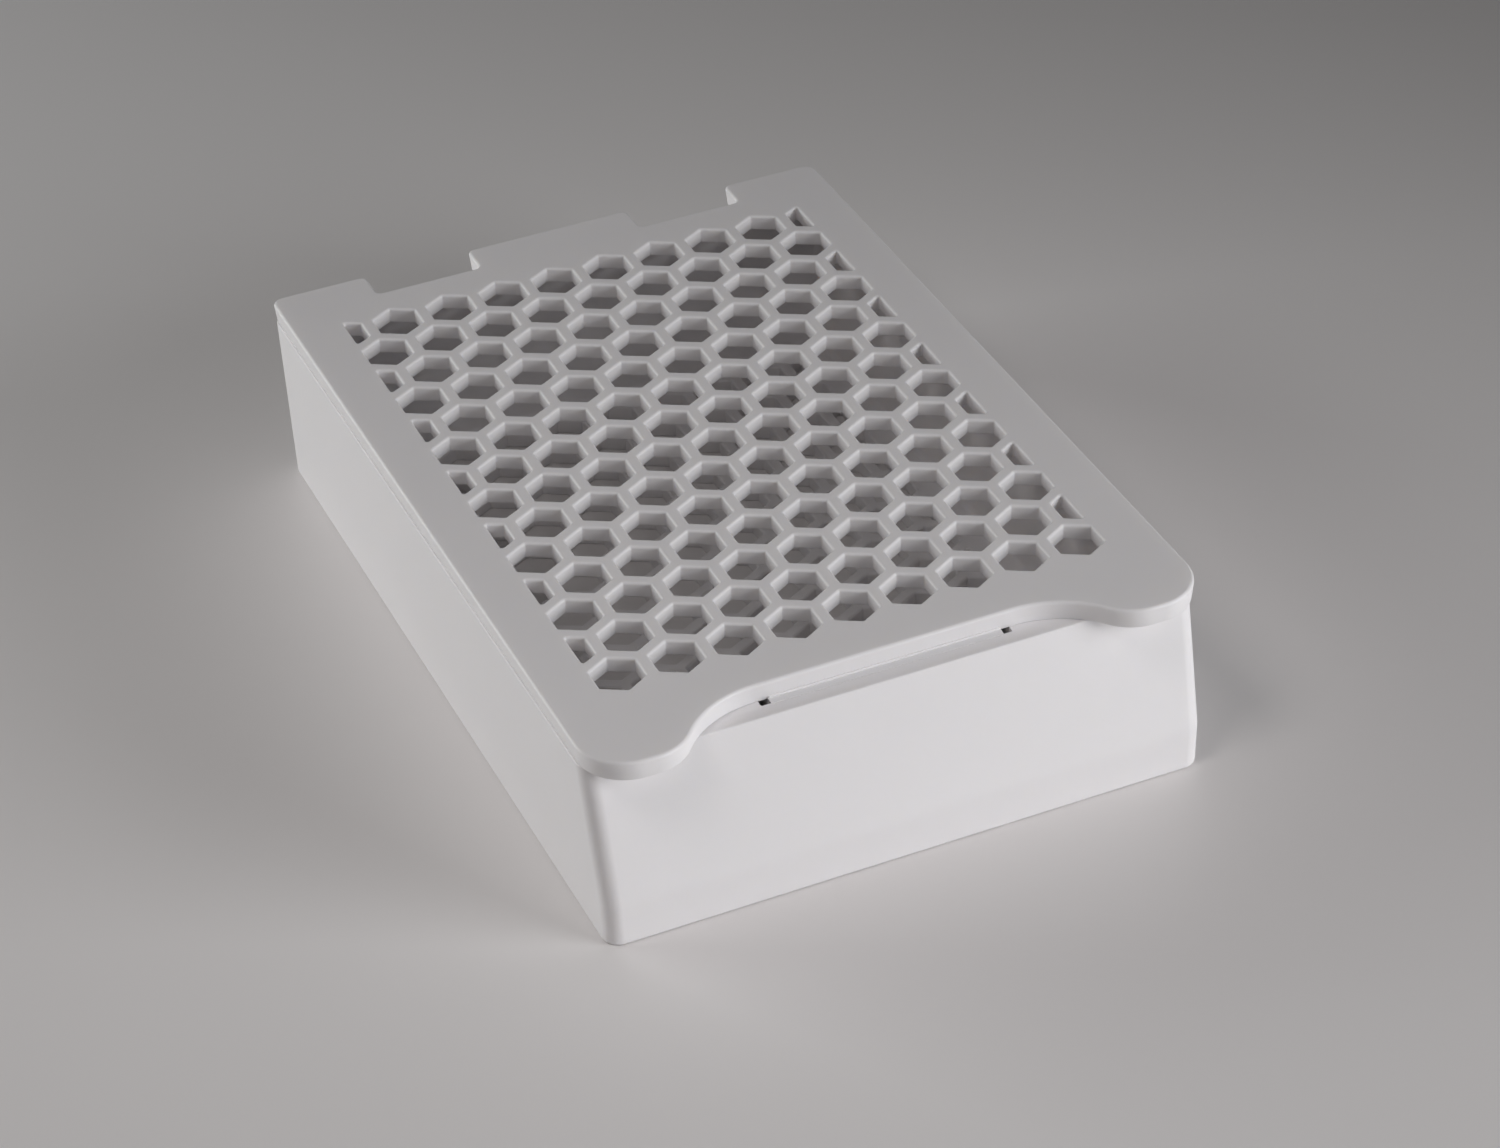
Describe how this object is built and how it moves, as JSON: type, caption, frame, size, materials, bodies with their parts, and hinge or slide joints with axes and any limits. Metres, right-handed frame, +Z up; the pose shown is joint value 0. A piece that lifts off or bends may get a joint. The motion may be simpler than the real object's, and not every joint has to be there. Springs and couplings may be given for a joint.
{
  "type": "tissue cassette",
  "caption": "Large tissue cassette: a tray with a honeycomb floor and a sloping label face, closed by a honeycomb lid that hooks round a rail at the rear and latches at the front.",
  "frame": {"origin": "middle of the footprint, on the surface that the cassette stands on", "axes": "+Z up; +Y from the sloping label face at the front to the hinge at the rear; +X to the right seen from the front"},
  "size_m": [0.0522, 0.075, 0.0175],
  "materials": {
    "white_plastic": "satin moulded"
  },
  "bodies": {
    "base": {"base": "white_plastic"},
    "lid": {"lid": "white_plastic"}
  },
  "joints": [
    {"name": "lid_hinge", "type": "hinge", "parent": "base", "child": "lid", "pos_m": [0, 0.0375, 0.01575], "axis": [-1, 0, 0], "range_deg": [0, 80]}
  ]
}
